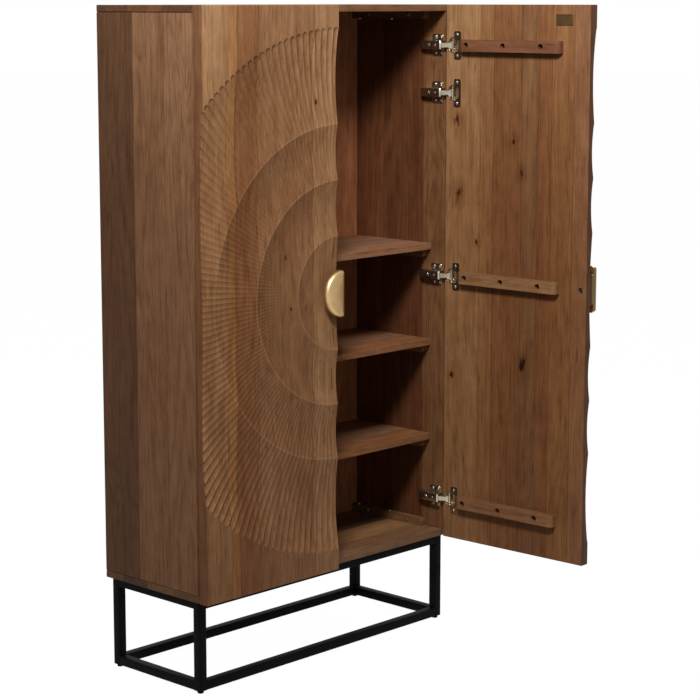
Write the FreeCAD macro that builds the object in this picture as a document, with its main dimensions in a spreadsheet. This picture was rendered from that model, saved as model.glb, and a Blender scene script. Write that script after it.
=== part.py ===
# Two-door wooden cabinet with carved ring doors on a square-tube frame.
# Lengths are in millimetres and angles in degrees. The cabinet faces minus Y and stands on Z = 0.
import FreeCAD, Part
import os
import Sketcher

doc = FreeCAD.newDocument("cabinet")

# Driving dimensions, one alias for each cell
SIZES = {
    # Carcass panels
    "width": 800,
    "carcass_height": 1245,
    "carcass_depth": 298,
    "lid_thickness": 15,
    "floor_thickness": 15,
    "side_thickness": 18,
    "back_thickness": 10,
    "back_inset": 9.5,
    "edge_groove": 1.5,
    # Shelves and the cleats that carry them
    "shelf_thickness": 15,
    "shelf_setback": 40,
    "shelf_share": 0.1818,
    "cleat_size": 18,
    "cleat_setback": 12,
    "cleat_round": 9,
    # Tube frame and levelling feet
    "frame_height": 199,
    "frame_side_inset": 12,
    "frame_front_inset": 8.5,
    "frame_back_inset": 6.5,
    "tube_size": 20,
    "tube_wall": 1.5,
    "end_plate": 3,
    "foot_height": 6,
    "foot_diameter": 14,
    # Door leaves and the carved rings
    "door_thickness": 25,
    "door_gap": 5,
    "seam_gap": 3,
    "hinge_inset": 11,
    "hinge_depth": 12.5,
    "first_ring": 126,
    "ring_step": 121,
    "outer_ring": 576,
    "crest_depth": 3,
    "cove_depth": 7,
    "outer_cove_depth": 9.3,
    "centre_depth": 9.5,
    # Half-disc handles, the uncarved rests behind them and their screws
    "handle_radius": 53,
    "handle_edge": 0.5,
    "handle_thickness": 13,
    "handle_lift": 5,
    "handle_corner": 3,
    "handle_bevel": 3,
    "rest_height": 67,
    "rest_width": 30,
    "handle_screw_inset": 14,
    "bolt_diameter": 4,
    "bolt_clearance": 0.25,
    "bolt_grip": 10,
    "bolt_head_diameter": 8,
    "bolt_head_height": 3,
    "bolt_sink_diameter": 13,
    "bolt_sink_depth": 6,
    # Battens across the inside of each door
    "batten_start": 48,
    "batten_length": 279,
    "batten_height": 27,
    "batten_thickness": 18,
    "batten_round": 12,
    # Concealed hinges
    "end_hinge": 92,
    "second_hinge": 200,
    "cup_diameter": 35,
    "cup_edge": 5,
    "cup_depth": 11,
    "cup_wall": 1,
    "cup_clearance": 0.2,
    "flange_start": 24,
    "flange_width": 20,
    "flange_height": 64,
    "flange_thickness": 1.6,
    "pin_edge": 17.5,
    "pin_depth": 2,
    "pin_diameter": 3,
    "pin_clearance": 0.05,
    "link_length": 29,
    "link_lean": 24,
    "link_clearance": 0.05,
    "link_thickness": 1.6,
    "link_eye": 5,
    "link_ear_depth": 5,
    "link_ear_length": 14,
    "link_ear_wall": 1.2,
    "arm_length": 70,
    "arm_width": 20,
    "arm_height": 17.5,
    "arm_wall": 1.5,
    "plate_start": 6,
    "plate_length": 33,
    "plate_height": 50,
    "plate_thickness": 2,
}

sheet = doc.addObject("Spreadsheet::Sheet", "dims")
for row, (alias, value) in enumerate(SIZES.items(), start=1):
    sheet.set("A%d" % row, alias)
    sheet.set("B%d" % row, str(value))
    sheet.setAlias("B%d" % row, alias)
doc.recompute()

# The left door rests closed and the right door rests open by this many degrees
OPEN_ANGLE = {"left": "0", "right": "92"}
SIGN = {"left": "-1", "right": "1"}

# Places shared by many pieces, measured from the cabinet's middle plane, carcass front and floor
HALF = "(dims.width / 2)"
BASE = "(dims.foot_height + dims.frame_height)"
MIDDLE = "(%s + dims.carcass_height / 2)" % BASE
INSIDE = "(dims.width / 2 - dims.side_thickness)"
BACK_FACE = "(dims.carcass_depth - dims.back_inset - dims.back_thickness)"
LEAF_WIDTH = "((dims.width - dims.seam_gap) / 2)"
HINGE_OUT = "(dims.width / 2 - dims.hinge_inset)"
HINGE_FRONT = "(dims.door_gap + dims.hinge_depth)"
SWING = "(%s - dims.hinge_inset)" % LEAF_WIDTH
LEAF_FRONT = "(dims.door_thickness - dims.hinge_depth)"
LINK_WIDTH = "(dims.arm_width - 2 * dims.arm_wall - 2 * dims.link_clearance)"
PIN_OUT = "(dims.hinge_inset - dims.pin_edge)"
PIN_BACK = "(dims.hinge_depth - dims.pin_depth)"
CUP_OUT = "(dims.hinge_inset - dims.cup_edge - dims.cup_diameter / 2)"
SHELF_STEP = "(dims.carcass_height * dims.shelf_share)"
LOWEST_SHELF = "(%s + dims.floor_thickness + %s - dims.shelf_thickness)" % (BASE, SHELF_STEP)
LEG_OUT = "(dims.width / 2 - dims.frame_side_inset - dims.tube_size / 2)"
LEG_FRONT = "(dims.frame_front_inset + dims.tube_size / 2)"
LEG_BACK = "(dims.carcass_depth - dims.frame_back_inset - dims.tube_size / 2)"
RAIL_TOP = "(%s - dims.tube_size / 2)" % BASE
RAIL_BOTTOM = "(dims.foot_height + dims.tube_size / 2)"

# The frame's origin is the middle of the object's outline on the floor, with the right door open
HANDLE_BACK = "(%s + dims.handle_lift)" % LEAF_FRONT
RIGHT_REACH = "(%s - %s * cos(%s) + (%s + dims.handle_thickness) * sin(%s))" % (
    HINGE_OUT, SWING, OPEN_ANGLE["right"], HANDLE_BACK, OPEN_ANGLE["right"])
FRONT_REACH = "(%s + %s * sin(%s) - dims.hinge_depth * cos(%s))" % (
    HINGE_FRONT, SWING, OPEN_ANGLE["right"], OPEN_ANGLE["right"])
CENTRE_X = "((%s - %s) / 2)" % (HALF, RIGHT_REACH)
FRONT_Y = "((%s - dims.carcass_depth) / 2)" % FRONT_REACH

# Heights of the four hinges of a door above the middle of the carcass
HINGE_HEIGHTS = [
    "(dims.carcass_height / 2 - dims.end_hinge)",
    "(dims.carcass_height / 2 - dims.second_hinge)",
    "0",
    "(dims.end_hinge - dims.carcass_height / 2)",
]
BATTENS = {"top": HINGE_HEIGHTS[0], "middle": HINGE_HEIGHTS[2], "bottom": HINGE_HEIGHTS[3]}

nodes = []


def number(expression):
    return float(sheet.evalExpression(expression))


def new_body(label):
    body = doc.addObject("PartDesign::Body", label)
    body.Label = label
    return body


def put(item, x, y, z, turn="0"):
    item.setExpression("Placement.Base.x", "%s + (%s)" % (CENTRE_X, x))
    item.setExpression("Placement.Base.y", "%s + (%s)" % (FRONT_Y, y))
    item.setExpression("Placement.Base.z", z)
    item.setExpression("Placement.Rotation.Angle", turn)


def put_on_door(item, side, height="0"):
    # Pieces on a door are drawn from its hinge axis, as they lie with the door closed
    sign = SIGN[side]
    put(item, "%s * %s" % (sign, HINGE_OUT), "-%s" % HINGE_FRONT, "%s + %s" % (MIDDLE, height),
        "%s * %s" % (sign, OPEN_ANGLE[side]))


def sketch_on(body, plane, lift="0"):
    sketch = body.newObject("Sketcher::SketchObject", body.Name + "_sketch")
    support = [item for item in body.Origin.OriginFeatures if item.Role == plane][0]
    sketch.AttachmentSupport = [(support, "")]
    sketch.MapMode = "FlatFace"
    sketch.setExpression("AttachmentOffset.Base.z", lift)
    return sketch


def pin(sketch, geometry, end, across, up):
    for kind, expression in (("DistanceX", across), ("DistanceY", up)):
        constraint = Sketcher.Constraint(kind, -1, 1, geometry, end, number(expression))
        index = sketch.addConstraint(constraint)
        sketch.setExpression("Constraints[%d]" % index, expression)


def loop(sketch, corners, arcs=None):
    # Closed outline through corners; arcs maps a side's index to how far that side bows out to its left
    arcs = arcs or {}
    spots = [FreeCAD.Vector(number(across), number(up), 0) for across, up in corners]
    count = len(corners)
    ends = []
    for i in range(count):
        start = spots[i]
        stop = spots[(i + 1) % count]
        if i in arcs:
            along = stop - start
            left = FreeCAD.Vector(-along.y, along.x, 0).normalize()
            middle = (start + stop) * 0.5 + left * number(arcs[i])
            geometry = sketch.addGeometry(Part.Arc(start, middle, stop))
        else:
            geometry = sketch.addGeometry(Part.LineSegment(start, stop))
        if (sketch.getPoint(geometry, 1) - start).Length < (sketch.getPoint(geometry, 2) - start).Length:
            ends.append((geometry, 1, 2))
        else:
            ends.append((geometry, 2, 1))
    for i in range(count):
        after = ends[(i + 1) % count]
        sketch.addConstraint(Sketcher.Constraint("Coincident", ends[i][0], ends[i][2], after[0], after[1]))
    for i, (across, up) in enumerate(corners):
        pin(sketch, ends[i][0], ends[i][1], across, up)
    for i, bow in arcs.items():
        here = corners[i]
        there = corners[(i + 1) % count]
        radius = "abs(((%s - (%s))^2 + (%s - (%s))^2) / (8 * (%s)) + (%s) / 2)" % (
            there[0], here[0], there[1], here[1], bow, bow)
        index = sketch.addConstraint(Sketcher.Constraint("Radius", ends[i][0], number(radius)))
        sketch.setExpression("Constraints[%d]" % index, radius)


def rectangle(sketch, left, right, low, high):
    loop(sketch, [(left, low), (right, low), (right, high), (left, high)])


def circle(sketch, across, up, diameter):
    centre = FreeCAD.Vector(number(across), number(up), 0)
    geometry = sketch.addGeometry(Part.Circle(centre, FreeCAD.Vector(0, 0, 1), number(diameter) / 2))
    pin(sketch, geometry, 3, across, up)
    index = sketch.addConstraint(Sketcher.Constraint("Diameter", geometry, number(diameter)))
    sketch.setExpression("Constraints[%d]" % index, diameter)


def many_sided(sketch, across, up, diameter, sides):
    corners = []
    for side_number in range(sides):
        angle = 360 * (side_number + 0.5) / sides
        corners.append(("%s + (%s) / 2 * cos(%s)" % (across, diameter, angle),
                        "%s + (%s) / 2 * sin(%s)" % (up, diameter, angle)))
    loop(sketch, corners)


def pad(body, sketch, length, against=False):
    feature = body.newObject("PartDesign::Pad", body.Name + "_pad")
    feature.Profile = sketch
    feature.setExpression("Length", length)
    feature.Reversed = against
    return feature


def pocket(body, sketch, length, along=False):
    # Cuts against the sketch's normal, or along it
    feature = body.newObject("PartDesign::Pocket", body.Name + "_pocket")
    feature.Profile = sketch
    feature.setExpression("Length", length)
    feature.Reversed = along
    return feature


def soften(body, feature, chosen, size, kind="Fillet"):
    # Rounds or bevels the edges of a feature that the chosen test picks
    doc.recompute()
    names = []
    for index, edge in enumerate(feature.Shape.Edges, start=1):
        if chosen(edge):
            names.append("Edge%d" % index)
    softened = body.newObject("PartDesign::" + kind, body.Name + "_" + kind.lower())
    softened.Base = (feature, names)
    softened.setExpression("Radius" if kind == "Fillet" else "Size", size)
    return softened


def middle_of(edge):
    return edge.valueAt((edge.FirstParameter + edge.LastParameter) / 2)


def close(first, second):
    return abs(first - second) < 0.01


def group(label, members):
    compound = doc.addObject("Part::Compound", label)
    compound.Label = label
    compound.Links = members
    nodes.append(compound)


# Carcass: the lid and floor panel run over the side panels, with small grooves where they meet
lid = new_body("lid_panel")
outline = sketch_on(lid, "XZ_Plane")
loop(outline, [
    ("dims.edge_groove - " + HALF, "0"),
    (HALF + " - dims.edge_groove", "0"),
    (HALF, "dims.edge_groove"),
    (HALF, "dims.lid_thickness"),
    ("-" + HALF, "dims.lid_thickness"),
    ("-" + HALF, "dims.edge_groove"),
])
pad(lid, outline, "dims.carcass_depth", True)
put(lid, "0", "0", "%s + dims.carcass_height - dims.lid_thickness" % BASE)
nodes.append(lid)

floor = new_body("floor_panel")
outline = sketch_on(floor, "XZ_Plane")
loop(outline, [
    ("-" + HALF, "0"),
    (HALF, "0"),
    (HALF, "dims.floor_thickness - dims.edge_groove"),
    (HALF + " - dims.edge_groove", "dims.floor_thickness"),
    ("dims.edge_groove - " + HALF, "dims.floor_thickness"),
    ("-" + HALF, "dims.floor_thickness - dims.edge_groove"),
])
pad(floor, outline, "dims.carcass_depth", True)
put(floor, "0", "0", BASE)
nodes.append(floor)

SIDE_HEIGHT = "(dims.carcass_height - dims.lid_thickness - dims.floor_thickness)"
for side in ("left", "right"):
    inward = "-(%s)" % SIGN[side]
    panel = new_body(side + "_side_panel")
    outline = sketch_on(panel, "XZ_Plane")
    loop(outline, [
        (inward + " * dims.edge_groove", "0"),
        (inward + " * dims.side_thickness", "0"),
        (inward + " * dims.side_thickness", SIDE_HEIGHT),
        (inward + " * dims.edge_groove", SIDE_HEIGHT),
        ("0", SIDE_HEIGHT + " - dims.edge_groove"),
        ("0", "dims.edge_groove"),
    ])
    pad(panel, outline, "dims.carcass_depth", True)
    put(panel, "%s * %s" % (SIGN[side], HALF), "0", "%s + dims.floor_thickness" % BASE)
    nodes.append(panel)

back = new_body("back_panel")
outline = sketch_on(back, "XZ_Plane")
rectangle(outline, "-" + INSIDE, INSIDE, "0", SIDE_HEIGHT)
pad(back, outline, "dims.back_thickness", True)
put(back, "0", BACK_FACE, "%s + dims.floor_thickness" % BASE)
nodes.append(back)

# Shelves between the side panels, set back from the front
SHELVES = {
    "lower_shelf": LOWEST_SHELF,
    "middle_shelf": "(%s + %s)" % (LOWEST_SHELF, SHELF_STEP),
    "upper_shelf": "(%s + 2 * %s)" % (LOWEST_SHELF, SHELF_STEP),
}
for label, height in SHELVES.items():
    shelf = new_body(label)
    outline = sketch_on(shelf, "XZ_Plane")
    rectangle(outline, "-" + INSIDE, INSIDE, "0", "dims.shelf_thickness")
    pad(shelf, outline, BACK_FACE + " - dims.shelf_setback", True)
    put(shelf, "0", "dims.shelf_setback", height)
    nodes.append(shelf)

# Cleats on the side panels, under the lid and the shelves and on the floor panel
CLEATS = {
    "lid": "%s + dims.carcass_height - dims.lid_thickness - dims.cleat_size" % BASE,
    "upper_shelf": SHELVES["upper_shelf"] + " - dims.cleat_size",
    "middle_shelf": SHELVES["middle_shelf"] + " - dims.cleat_size",
    "lower_shelf": SHELVES["lower_shelf"] + " - dims.cleat_size",
    "floor": "%s + dims.floor_thickness" % BASE,
}
CLEAT_LENGTH = "(%s - dims.shelf_setback - dims.cleat_setback)" % BACK_FACE
for side in ("left", "right"):
    for where, height in CLEATS.items():
        cleat = new_body("%s_%s_cleat" % (side, where))
        outline = sketch_on(cleat, "YZ_Plane")
        rectangle(outline, "0", CLEAT_LENGTH, "0", "dims.cleat_size")
        block = pad(cleat, outline, "dims.cleat_size", side == "right")
        free = number("dims.cleat_size") if where == "floor" else 0.0
        soften(cleat, block,
               lambda edge: close(middle_of(edge).y, 0) and close(middle_of(edge).z, free),
               "dims.cleat_round")
        put(cleat, "%s * %s" % (SIGN[side], INSIDE), "dims.shelf_setback + dims.cleat_setback", height)
        nodes.append(cleat)


# Tube frame under the carcass: four legs with closed lower ends, rails between them, levelling feet.
# A round foot is drawn with this many flat sides.
FOOT_SIDES = 16


def tube_section(sketch):
    half = "dims.tube_size / 2"
    hollow = "(dims.tube_size / 2 - dims.tube_wall)"
    rectangle(sketch, "-" + half, half, "-" + half, half)
    rectangle(sketch, "-" + hollow, hollow, "-" + hollow, hollow)


feet = []
for side in ("left", "right"):
    for row, along in (("front", LEG_FRONT), ("back", LEG_BACK)):
        across = "%s * %s" % (SIGN[side], LEG_OUT)
        leg = new_body("%s_%s_leg" % (side, row))
        section = sketch_on(leg, "XY_Plane")
        tube_section(section)
        pad(leg, section, "dims.frame_height")
        ending = sketch_on(leg, "XY_Plane")
        rectangle(ending, "-dims.tube_size / 2", "dims.tube_size / 2", "-dims.tube_size / 2", "dims.tube_size / 2")
        pad(leg, ending, "dims.end_plate")
        put(leg, across, along, "dims.foot_height")
        nodes.append(leg)

        foot = new_body("%s_%s_foot" % (side, row))
        disc = sketch_on(foot, "XY_Plane")
        many_sided(disc, "0", "0", "dims.foot_diameter", FOOT_SIDES)
        pad(foot, disc, "dims.foot_height")
        put(foot, across, along, "0")
        feet.append(foot)
group("levelling_feet", feet)

RAIL_WIDE = "(2 * %s - dims.tube_size)" % LEG_OUT
RAIL_DEEP = "(%s - %s - dims.tube_size)" % (LEG_BACK, LEG_FRONT)
for level, height in (("top", RAIL_TOP), ("bottom", RAIL_BOTTOM)):
    for row, along in (("front", LEG_FRONT), ("back", LEG_BACK)):
        rail = new_body("%s_%s_rail" % (row, level))
        section = sketch_on(rail, "YZ_Plane")
        tube_section(section)
        pad(rail, section, RAIL_WIDE)
        put(rail, "-%s / 2" % RAIL_WIDE, along, height)
        nodes.append(rail)
    for side in ("left", "right"):
        rail = new_body("%s_%s_rail" % (side, level))
        section = sketch_on(rail, "XZ_Plane")
        tube_section(section)
        pad(rail, section, RAIL_DEEP, True)
        put(rail, "%s * %s" % (SIGN[side], LEG_OUT), "%s + dims.tube_size / 2" % LEG_FRONT, height)
        nodes.append(rail)

# Carved rings: where each cove begins and ends, how its depth changes from crest to crest, how far it bows
# in, and the number of straight runs along it
DISH_RUNS = 3
INNER_RUNS = 3
OUTER_RUNS = 4
SECOND_RING = "(dims.first_ring + dims.ring_step)"
THIRD_RING = "(dims.first_ring + 2 * dims.ring_step)"
COVES = [
    ("dims.first_ring", SECOND_RING, "0", "dims.cove_depth", INNER_RUNS),
    (SECOND_RING, THIRD_RING, "0", "dims.cove_depth", INNER_RUNS),
    (THIRD_RING, "dims.outer_ring", "dims.crest_depth", "dims.outer_cove_depth", OUTER_RUNS),
]

# Doors: each leaf carries half of the carved rings, whose shared centre lies on the seam at mid height
for side in ("left", "right"):
    sign = "(%s)" % SIGN[side]
    leaf = new_body(side + "_door")
    outline = sketch_on(leaf, "XZ_Plane", "-dims.hinge_depth")
    hinge_edge = sign + " * dims.hinge_inset"
    free_edge = "-%s * %s" % (sign, SWING)
    rectangle(outline, hinge_edge, free_edge, "-dims.carcass_height / 2", "dims.carcass_height / 2")
    pad(leaf, outline, "dims.door_thickness")

    # Ring coves, drawn from the seam outwards: a dish, two coves and a wide outer cove that meet in crests.
    # Each is drawn as a row of short straight runs along its curve.
    carving = sketch_on(leaf, "XY_Plane")
    front = "(-%s)" % LEAF_FRONT
    axis_place = "(-%s * %s)" % (sign, HINGE_OUT)
    profile = []
    for step in range(DISH_RUNS):
        part = "(%d / %d)" % (step, DISH_RUNS)
        profile.append(("dims.first_ring * %s" % part,
                        "dims.centre_depth - (dims.centre_depth - dims.crest_depth) * %s^2" % part))
    for begin, end, fall, bow, runs in COVES:
        for step in range(runs):
            part = "(%d / %d)" % (step, runs)
            profile.append(("%s + (%s - %s) * %s" % (begin, end, begin, part),
                            "dims.crest_depth - %s * %s + 4 * %s * %s * (1 - %s)" % (fall, part, bow, part, part)))
    profile.append(("dims.outer_ring", "0"))
    corners = []
    for ring, depth in profile:
        corners.append(("%s + %s * (%s)" % (axis_place, sign, ring), "%s + %s" % (front, depth)))
    clear_of_front = "%s - dims.centre_depth" % front
    corners.append(("%s + %s * dims.outer_ring" % (axis_place, sign), clear_of_front))
    corners.append((axis_place, clear_of_front))
    loop(carving, corners)
    axis = carving.addGeometry(Part.LineSegment(
        FreeCAD.Vector(number(axis_place), number(clear_of_front), 0),
        FreeCAD.Vector(number(axis_place), number(front), 0)), True)
    pin(carving, axis, 1, axis_place, clear_of_front)
    pin(carving, axis, 2, axis_place, front)
    groove = leaf.newObject("PartDesign::Groove", leaf.Name + "_rings")
    groove.Profile = carving
    groove.ReferenceAxis = (carving, ["Axis0"])
    groove.Angle = 360

    # Uncarved rest that the handle sits on
    rest = sketch_on(leaf, "XZ_Plane", LEAF_FRONT)
    rectangle(rest, free_edge, "-%s * (%s - dims.rest_width)" % (sign, SWING),
              "-dims.rest_height / 2", "dims.rest_height / 2")
    pad(leaf, rest, "dims.centre_depth + dims.crest_depth", True)

    # Seats for the hinge cups
    seats = sketch_on(leaf, "XZ_Plane", "-dims.hinge_depth")
    for height in HINGE_HEIGHTS:
        circle(seats, "%s * %s" % (sign, CUP_OUT), height, "dims.cup_diameter + 2 * dims.cup_clearance")
    pocket(leaf, seats, "dims.cup_depth", True)

    # Sunk hole for the handle's screw
    screw_place = "-%s * (%s - dims.handle_screw_inset)" % (sign, SWING)
    sink = sketch_on(leaf, "XZ_Plane", "-dims.hinge_depth")
    circle(sink, screw_place, "0", "dims.bolt_sink_diameter")
    pocket(leaf, sink, "dims.bolt_sink_depth", True)
    bore = sketch_on(leaf, "XZ_Plane", "-dims.hinge_depth")
    circle(bore, screw_place, "0", "dims.bolt_diameter + 2 * dims.bolt_clearance")
    pocket(leaf, bore, "dims.door_thickness", True)
    put_on_door(leaf, side)
    nodes.append(leaf)

    # Half-disc handle with its straight side along the door's free edge. A boss as large as the rest lifts it,
    # which leaves a gap for the fingers behind its round side.
    handle = new_body(side + "_handle")
    outline = sketch_on(handle, "XZ_Plane", HANDLE_BACK)
    straight = "-%s * (%s - dims.handle_edge)" % (sign, SWING)
    quarter_bow = sign + " * dims.handle_radius * (1 - sqrt(0.5))"
    loop(outline, [
        (straight, "-dims.handle_radius"),
        (straight, "dims.handle_radius"),
        ("%s + %s * dims.handle_radius" % (straight, sign), "0"),
    ], {1: quarter_bow, 2: quarter_bow})
    half_disc = pad(handle, outline, "dims.handle_thickness")
    face = -number(HANDLE_BACK)
    rim = face - number("dims.handle_thickness")
    cornered = soften(handle, half_disc,
                      lambda edge: (close(middle_of(edge).y, (face + rim) / 2)
                                    and close(middle_of(edge).x, number(straight))),
                      "dims.handle_corner", "Chamfer")
    soften(handle, cornered, lambda edge: close(middle_of(edge).y, rim), "dims.handle_bevel", "Chamfer")
    boss = sketch_on(handle, "XZ_Plane", LEAF_FRONT)
    rectangle(boss, straight, "-%s * (%s - dims.rest_width)" % (sign, SWING),
              "-dims.rest_height / 2", "dims.rest_height / 2")
    pad(handle, boss, "dims.handle_lift")
    thread = sketch_on(handle, "XZ_Plane", LEAF_FRONT)
    circle(thread, screw_place, "0", "dims.bolt_diameter + 2 * dims.bolt_clearance")
    pocket(handle, thread, "dims.bolt_grip", True)
    put_on_door(handle, side)
    nodes.append(handle)

    # Screw from the inside of the leaf into the handle
    screw = new_body(side + "_handle_screw")
    seat = "(dims.bolt_sink_depth - dims.hinge_depth)"
    shank = sketch_on(screw, "XZ_Plane", seat)
    many_sided(shank, screw_place, "0", "dims.bolt_diameter", 8)
    pad(screw, shank, "dims.door_thickness - dims.bolt_sink_depth + dims.bolt_grip")
    head = sketch_on(screw, "XZ_Plane", seat)
    many_sided(head, screw_place, "0", "dims.bolt_head_diameter", 12)
    pad(screw, head, "dims.bolt_head_height", True)
    put_on_door(screw, side)
    nodes.append(screw)

    # Battens across the inside
    for where, height in BATTENS.items():
        batten = new_body("%s_%s_batten" % (side, where))
        outline = sketch_on(batten, "XZ_Plane", "-dims.hinge_depth")
        near = "%s * (dims.hinge_inset - dims.batten_start)" % sign
        far = "%s * (dims.hinge_inset - dims.batten_start - dims.batten_length)" % sign
        rectangle(outline, near, far, "-dims.batten_height / 2", "dims.batten_height / 2")
        bar = pad(batten, outline, "dims.batten_thickness", True)
        outer = number("dims.hinge_depth + dims.batten_thickness")
        soften(batten, bar,
               lambda edge: close(middle_of(edge).y, outer) and close(middle_of(edge).z, 0),
               "dims.batten_round")
        put_on_door(batten, side, height)
        nodes.append(batten)

# Concealed hinges: cups in the leaves, plates and arms on the side panels, links between them.
# A cup's round bowl and the bore of a link are drawn with this many flat sides.
CUP_SIDES = 12
BORE_SIDES = 12
for side in ("left", "right"):
    sign = "(%s)" % SIGN[side]
    inward = "-(%s)" % SIGN[side]
    cups = []
    plates = []
    arms = []
    links = []
    for count, height in enumerate(HINGE_HEIGHTS, start=1):
        cup = new_body("%s_hinge_cup_%d" % (side, count))
        cup_place = "%s * %s" % (sign, CUP_OUT)
        flange = sketch_on(cup, "XZ_Plane", "-dims.hinge_depth")
        rectangle(flange, "%s * (dims.hinge_inset - dims.flange_start)" % sign,
                  "%s * (dims.hinge_inset - dims.flange_start - dims.flange_width)" % sign,
                  "-dims.flange_height / 2", "dims.flange_height / 2")
        pad(cup, flange, "dims.flange_thickness", True)
        bowl = sketch_on(cup, "XZ_Plane", "-dims.hinge_depth")
        many_sided(bowl, cup_place, "0", "dims.cup_diameter", CUP_SIDES)
        pad(cup, bowl, "dims.cup_depth")
        mouth = sketch_on(cup, "XZ_Plane", "-(dims.hinge_depth + dims.flange_thickness)")
        many_sided(mouth, cup_place, "0", "dims.cup_diameter - 2 * dims.cup_wall", CUP_SIDES)
        pocket(cup, mouth, "dims.flange_thickness + dims.cup_depth - dims.cup_wall", True)
        off_centre = "(dims.pin_edge - dims.cup_edge - dims.cup_diameter / 2)"
        pin_half = "sqrt(((dims.cup_diameter - dims.cup_wall) / 2)^2 - %s^2)" % off_centre
        rod = sketch_on(cup, "XY_Plane", "-" + pin_half)
        circle(rod, "%s * %s" % (sign, PIN_OUT), PIN_BACK, "dims.pin_diameter")
        pad(cup, rod, "2 * " + pin_half)
        put_on_door(cup, side, height)
        cups.append(cup)

        plate = new_body("%s_hinge_plate_%d" % (side, count))
        outline = sketch_on(plate, "YZ_Plane")
        rectangle(outline, "dims.plate_start", "dims.plate_start + dims.plate_length",
                  "-dims.plate_height / 2", "dims.plate_height / 2")
        pad(plate, outline, "dims.plate_thickness", side == "right")
        put(plate, "%s * %s" % (sign, INSIDE), "0", "%s + %s" % (MIDDLE, height))
        plates.append(plate)

        arm = new_body("%s_hinge_arm_%d" % (side, count))
        outline = sketch_on(arm, "XZ_Plane")
        foot_line = inward + " * dims.plate_thickness"
        crown = inward + " * (dims.plate_thickness + dims.arm_height)"
        under_crown = inward + " * (dims.plate_thickness + dims.arm_height - dims.arm_wall)"
        outside = "dims.arm_width / 2"
        hollow = "(dims.arm_width / 2 - dims.arm_wall)"
        loop(outline, [
            (foot_line, "-" + outside),
            (crown, "-" + outside),
            (crown, outside),
            (foot_line, outside),
            (foot_line, hollow),
            (under_crown, hollow),
            (under_crown, "-" + hollow),
            (foot_line, "-" + hollow),
        ])
        pad(arm, outline, "dims.arm_length", True)
        put(arm, "%s * %s" % (sign, INSIDE), "0", "%s + %s" % (MIDDLE, height))
        arms.append(arm)

        # The link hangs on the cup's pin and stays parallel to itself as the door turns
        link = new_body("%s_hinge_link_%d" % (side, count))

        def spot(ahead, aside):
            across = "%s * ((%s) * sin(dims.link_lean) + (%s) * cos(dims.link_lean))" % (inward, ahead, aside)
            up = "(%s) * cos(dims.link_lean) - (%s) * sin(dims.link_lean)" % (ahead, aside)
            return across, up

        low = "-%s / 2" % LINK_WIDTH
        strip = sketch_on(link, "XY_Plane", low)
        loop(strip, [
            spot("0", "-dims.link_thickness / 2"),
            spot("dims.link_length", "-dims.link_thickness / 2"),
            spot("dims.link_length", "dims.link_thickness / 2"),
            spot("0", "dims.link_thickness / 2"),
        ])
        pad(link, strip, LINK_WIDTH)
        knuckle = sketch_on(link, "XY_Plane", low)
        half_eye = "dims.link_eye / 2"
        loop(knuckle, [
            spot("-" + half_eye, "-" + half_eye),
            spot(half_eye, "-" + half_eye),
            spot(half_eye, half_eye),
            spot("-" + half_eye, half_eye),
        ])
        pad(link, knuckle, LINK_WIDTH)
        for level in (low, LINK_WIDTH + " / 2 - dims.link_ear_wall"):
            ear = sketch_on(link, "XY_Plane", level)
            loop(ear, [
                spot("0", "0"),
                spot("dims.link_ear_length", "0"),
                spot("dims.link_ear_length / 3", "dims.link_ear_depth"),
            ])
            pad(link, ear, "dims.link_ear_wall")
        bore = sketch_on(link, "XY_Plane", LINK_WIDTH + " / 2")
        many_sided(bore, "0", "0", "(dims.pin_diameter + 2 * dims.pin_clearance) / cos(180 / %d)" % BORE_SIDES,
                   BORE_SIDES)
        pocket(link, bore, LINK_WIDTH)
        turn = "(%s * %s)" % (sign, OPEN_ANGLE[side])
        put(link,
            "%s * %s + %s * %s * cos(%s) - %s * sin(%s)" % (
                sign, HINGE_OUT, sign, PIN_OUT, turn, PIN_BACK, turn),
            "-%s + %s * %s * sin(%s) + %s * cos(%s)" % (HINGE_FRONT, sign, PIN_OUT, turn, PIN_BACK, turn),
            "%s + %s" % (MIDDLE, height))
        links.append(link)
    group(side + "_hinge_cups", cups)
    group(side + "_hinge_plates", plates)
    group(side + "_hinge_arms", arms)
    group(side + "_hinge_links", links)

# Every piece is checked before any file is written
doc.recompute()
for item in doc.Objects:
    if "Invalid" in item.State or "Error" in item.State:
        raise RuntimeError("%s does not build" % item.Label)
for node in nodes:
    if node.Shape.isNull() or not node.Shape.isValid() or not node.Shape.Solids:
        raise RuntimeError("%s has no valid solid" % node.Label)
os.makedirs("parts", exist_ok=True)
for node in nodes:
    node.Shape.exportStep("parts/%s.step" % node.Label)
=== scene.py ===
# Looks of the two-door cabinet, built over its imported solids.
# Sizes of forms are in millimetres and become metres as points are placed; lengths in materials are in metres.
import math

import bmesh
import bpy
import numpy as np
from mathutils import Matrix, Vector
from mathutils.geometry import tessellate_polygon


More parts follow.
